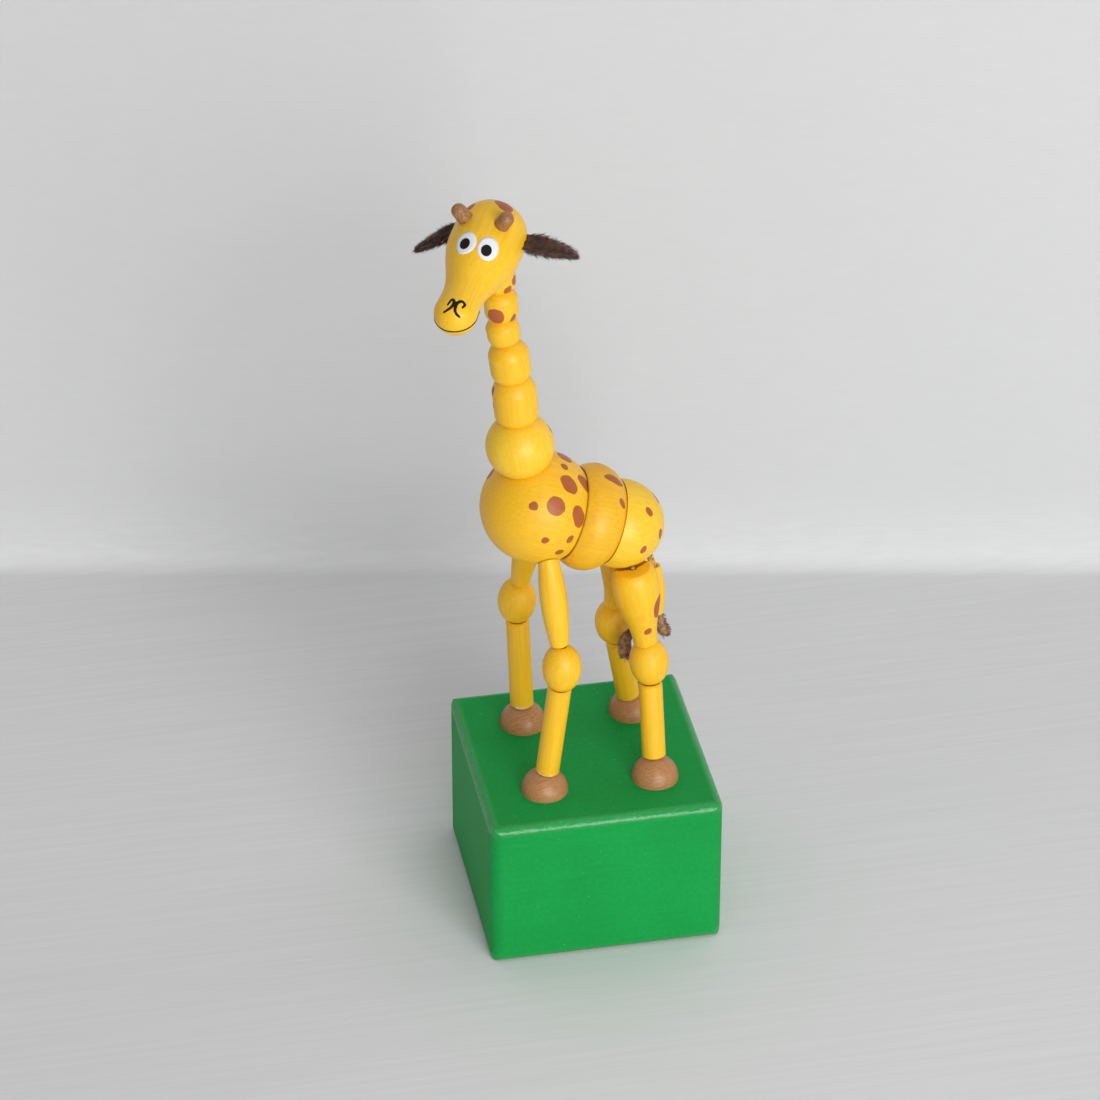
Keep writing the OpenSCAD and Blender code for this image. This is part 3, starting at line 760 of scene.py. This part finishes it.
def fur_ear(side, sign, droop, seed):
    ear_frame = (
        head_frame
        @ Matrix.Translation(mm(0, sign * 6.4, 1))
        @ Matrix.Rotation(math.radians(-90 * sign), 4, "X")
        @ Matrix.Translation(mm(0, 0, 2.5))
        @ Matrix.Rotation(math.radians(-droop), 4, "Y")
    )
    draw = random.Random(seed)
    bm = bmesh.new()
    bmesh.ops.create_grid(bm, x_segments=6, y_segments=14, size=1.0)
    for vert in bm.verts:
        vert.co = on_ear(vert.co.x, (vert.co.y + 1) / 2, -sign)
    bmesh.ops.solidify(bm, geom=bm.faces, thickness=ear_thickness)
    bmesh.ops.translate(bm, vec=mm(0.35, 0, 0), verts=bm.verts)
    for _ in range(ear_hairs):
        u, t, face = draw.uniform(-1, 1), draw.uniform(0, 0.97), draw.choice((-1, 1))
        off_face, sideways = face * (0.28 - 0.25 * t), 0.9 * u ** 3 + draw.gauss(0, 0.25)
        way = Vector((off_face, sideways, 1 + draw.gauss(0, 0.1))).normalized()
        at = on_ear(u, t, -sign) + mm(face * 0.3, 0, 0)
        hair(bm, at, way, draw.uniform(0.0010, 0.0021) * (1 - 0.3 * t))
    bmesh.ops.transform(bm, matrix=ear_frame, verts=bm.verts)
    return make_piece("fur_ear_" + side, bm, "head", ear_fur, ("ear_" + side,))


for side, sign, droop, seed in (("left", -1, 2, 5), ("right", 1, 38, 8)):
    ear = fur_ear(side, sign, droop, seed)
    print(ear.name, len(ear.data.polygons), "faces")

# %% [markdown]
# ## Twisted threads
# Each string is three plies laid round one another. Spin with a step along the axis winds one ply as a
# long helix, and three of them side by side make the thread. A string runs through many beads, and each
# bead must carry its own stretch when it tilts. So a stretch ends at the bead's faces and rides with that
# bead.

# %% Threads
def thread_finish(name, dark, light):
    material, tree, shader, place = new_finish(name)
    fibres = speckle(tree, place, 1500.0, 2.0)
    feed(tree, shader, {
        "Base Color": blend_colour(tree, fade(tree, fibres, 0.3, 0.7), dark, light),
        "Roughness": fade(tree, fibres, 0.3, 0.7, 0.6, 0.42),
        "Normal": embossed(tree, fibres, 0.4, 0.00005),
    })
    return material


golden_thread = thread_finish("golden_thread", rgb(0.42, 0.23, 0.05), rgb(0.72, 0.50, 0.18))


def twist(bm, start, stop, width=0.001, pitch=0.0032):
    run = stop - start
    steps = max(3, round(run.length / pitch * 9))
    onto_line = Matrix.Translation(start) @ run.to_track_quat("Z", "Y").to_matrix().to_4x4()
    old = len(bm.verts)
    ply_r = 0.27 * width
    for ply in range(3):
        beside = Matrix.Rotation(math.tau * ply / 3, 4, "Z") @ Matrix.Translation((ply_r, 0, 0))
        ring = bmesh.ops.create_circle(bm, segments=6, radius=ply_r, matrix=beside)["verts"]
        edges = ring_edges(ring)
        climb = (0, 0, run.length / steps)
        angle = math.tau * run.length / pitch
        bmesh.ops.spin(bm, geom=ring + edges, axis=(0, 0, 1), dvec=climb, angle=angle, steps=steps)
    bm.verts.ensure_lookup_table()
    bmesh.ops.transform(bm, matrix=onto_line, verts=bm.verts[old:])
    bmesh.ops.holes_fill(bm, edges=[e for e in bm.edges if e.is_boundary], sides=0)


def thread(name, body, *points, stands_for=()):
    bm = bmesh.new()
    for start, stop in zip(points, points[1:]):
        twist(bm, start, stop)
    return make_piece(name, bm, body, golden_thread, stands_for)


def overhand_knot(bm, middle, size):
    loops = []
    for i in range(37):
        a = math.tau * i / 36
        x = math.sin(a) + 2 * math.sin(2 * a)
        y = math.cos(a) - 2 * math.cos(2 * a)
        loops.append(middle + Vector((x, y, -math.sin(3 * a))) * size / 3)
    sweep(bm, loops, lambda t: size * 0.36)


roof_z, button_top_z, knot_z, knot_size = 0.032, 0.015, 0.0082, 0.00135
hoof_r, knee_r, gap = 0.006, 0.0046, 0.0003
knee_thread, hip_clear = 0.0036, {"rear_right": 0.0014}
for leg in legs:
    hoof, low, high = pivot["ankle_" + leg], knee_low[leg], knee_high[leg]
    front = leg.startswith("front")
    tie = Vector((hoof.x * 0.7, hoof.y * 0.7, knot_z))
    under_roof = Vector((hoof.x, hoof.y, roof_z))
    on_button = Vector((tie.x, tie.y, button_top_z))
    bm = bmesh.new()
    overhand_knot(bm, tie, knot_size)
    twist(bm, tie + mm(0, 0, 0.8), on_button)
    make_piece("knot_" + leg, bm, "button", golden_thread, ("string_" + leg,))
    slack = thread("string_in_block_" + leg, "block", on_button, under_roof)
    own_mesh(slack)
    thread("string_in_hoof_" + leg, "block", under_roof, hoof, hoof + shin_line[leg] * hoof_r)
    shin_stop = low - shin_line[leg] * (knee_r + gap)
    thread("string_in_shin_" + leg, "shin_" + leg, hoof + shin_line[leg] * (hoof_r + gap), shin_stop)
    bead = (high - low).normalized() * knee_thread
    thread("string_in_knee_" + leg, "knee_" + leg, low - bead, high + bead)
    thigh_start = high + thigh_line[leg] * (knee_r + gap)
    thigh_stop = hip[leg] - thigh_line[leg] * hip_clear.get(leg, gap)
    thread("string_in_" + upper[leg], upper[leg], thigh_start, thigh_stop)
    ball, body = (chest, "chest") if front else (rump, "rump")
    thread("string_at_hip_" + leg, body, hip[leg] + (ball - hip[leg]) * 0.02, hip[leg].lerp(ball, 0.5))
print("leg strings laid through", len(legs), "legs")

# %% [markdown]
# ## Neck and back strings
# The neck hangs on one string from the chest to the head, and another holds chest, belly and rump
# together.

# %% Neck and back strings
domes = (0.0085, 0.0056, 0.0052, 0.0044, 0.0044, 0.0043)
neck_bodies = ("neck_ball", "neck_bead_1", "neck_bead_2", "neck_bead_3", "neck_bead_4", "throat")
neck_start, spine_start, belly_back, spine_stop = 0.004, 0.009, 0.0224, 0.0255
up_neck = (neck[0] - chest).normalized()
root, leaves = chest + up_neck * neck_start, chest + up_neck * chest_r
thread("string_in_chest", "chest", root, leaves, stands_for=("neck_string",))
below, below_r = chest, chest_r
for body, at, dome in zip(neck_bodies, neck, domes):
    way = (at - below).normalized()
    thread("string_in_" + body, body, below + way * (below_r + gap), at + way * dome)
    below, below_r = at, dome
into_head = (head_middle - below).normalized()
thread("string_in_head", "head", below + into_head * (below_r + gap), below.lerp(head_middle, 0.8))


def down_back(far):
    return chest + along_back * far


thread("spine_in_chest", "chest", down_back(spine_start), down_back(chest_r), stands_for=("spine_string",))
thread("spine_in_belly", "belly", down_back(chest_r + gap), down_back(belly_back))
thread("spine_in_rump", "rump", down_back(belly_back + gap), down_back(spine_stop))
print("neck and back strung")

# %% [markdown]
# ## Return spring
# A bright steel spring pushes the button down. It is one wire wound by three spins in a row: a flat
# closing turn of three quarters, five open turns and the same closing turn again.

# %% Return spring
def bright_steel():
    material, tree, shader, place = new_finish("spring_steel")
    drawn = grain(tree, place, (1, 1, 0.2), (0.0002, 0.0002, 0.002))
    feed(tree, shader, {
        "Base Color": blend_colour(tree, drawn, rgb(0.50, 0.51, 0.53), rgb(0.68, 0.69, 0.71)),
        "Roughness": fade(tree, drawn, 0.2, 0.8, 0.22, 0.36),
        "Metallic": 1.0,
    })
    return material


wire_r, coil_r = 0.00065, 0.010
spring_low, spring_high = 0.0151 + wire_r, 0.0319 - wire_r
closed_turns, closed_rise, open_turns, steps_per_turn = 0.75, 0.00135, 5, 32
open_rise = spring_high - spring_low - 2 * closed_rise
bm = bmesh.new()
stand = Matrix.Translation((coil_r, 0, spring_low)) @ Matrix.Rotation(math.pi / 2, 4, "X")
ring = bmesh.ops.create_circle(bm, segments=12, radius=wire_r, matrix=stand)["verts"]
ends = ring + ring_edges(ring)
for turns, rise in ((closed_turns, closed_rise), (open_turns, open_rise), (closed_turns, closed_rise)):
    steps = round(turns * steps_per_turn)
    wound = bmesh.ops.spin(
        bm, geom=ends, axis=(0, 0, 1), dvec=(0, 0, rise / steps), angle=math.tau * turns, steps=steps
    )
    ends = wound["geom_last"]
bmesh.ops.holes_fill(bm, edges=[e for e in bm.edges if e.is_boundary], sides=0)
spring = make_piece("spring", bm, "block", bright_steel(), ("return_spring",))
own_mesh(spring)
print("spring wound from z", round(spring_low, 4), "to", round(spring_high, 4))

# %% [markdown]
# ## Tail
# The tail bead hangs on three golden cords side by side, knotted inside the rump. Below it the brown wool
# yarn is unravelled into two fuzzy ends. Each end is a few plies swept along a drooping path, with loose
# hairs all round.

# %% Tail
cord_width, cord_pitch = 0.00085, 0.0024
yarn_hairs, yarn_plies, yarn_spread = 420, 4, 0.0009
tail_knot = pivot["tail_swing"]
bm = bmesh.new()
overhand_knot(bm, tail_knot, 0.0009)
into_bead = tail_top.lerp(tail_end, 0.12)
above, beneath = mm(0.62, 0.1, 0), mm(0.34, 0.1, 0)
for side in (-1, 0, 1):
    twist(bm, tail_knot + above * side, into_bead + beneath * side, cord_width, cord_pitch)
tail_gold = thread_finish("tail_gold", rgb(0.30, 0.14, 0.015), rgb(0.80, 0.48, 0.08))
make_piece("tail_cord", bm, "tail", tail_gold, ("tail_string",))

wool = fur("tail_wool", rgb(0.11, 0.052, 0.024), rgb(0.42, 0.235, 0.125))
draw = random.Random(12)
bm = bmesh.new()
inside = tail_end.lerp(tail_top, 0.15)
locks = (
    (mm(0.5, 0, -2.4), mm(1.4, -0.1, -4.6), mm(1.9, -0.2, -6.0)),
    (mm(-3.4, 0.3, -3.6), mm(-8.0, 0.1, -6.8), mm(-8.3, -0.1, -12.2)),
)
for lock in locks:
    path = smooth_path([inside, tail_end] + [tail_end + drop for drop in lock], 5)
    for ply in range(yarn_plies):
        wound = []
        for i, point in enumerate(path):
            a = math.tau * (ply / yarn_plies + i * 0.07)
            spread = yarn_spread * min(1.0, i / 12)
            wound.append(point + Vector((math.cos(a), math.sin(a), 0.2 * math.sin(2 * a))) * spread)
        sweep(bm, wound, lambda t: 0.0006 + 0.00035 * t)
    for _ in range(yarn_hairs):
        i = draw.randrange(6, len(path))
        sway = Vector((draw.gauss(0, 1), draw.gauss(0, 1), draw.gauss(0, 1))).normalized()
        along = (path[i] - path[i - 1]).normalized()
        way = (sway + along * 0.6).normalized()
        hair(bm, path[i] + sway * 0.0010, way, draw.uniform(0.0007, 0.0014))
make_piece("tail_yarn", bm, "tail", wool, ("tail_tuft",))
print("tail hung from", [round(c * 1000, 1) for c in tail_knot])
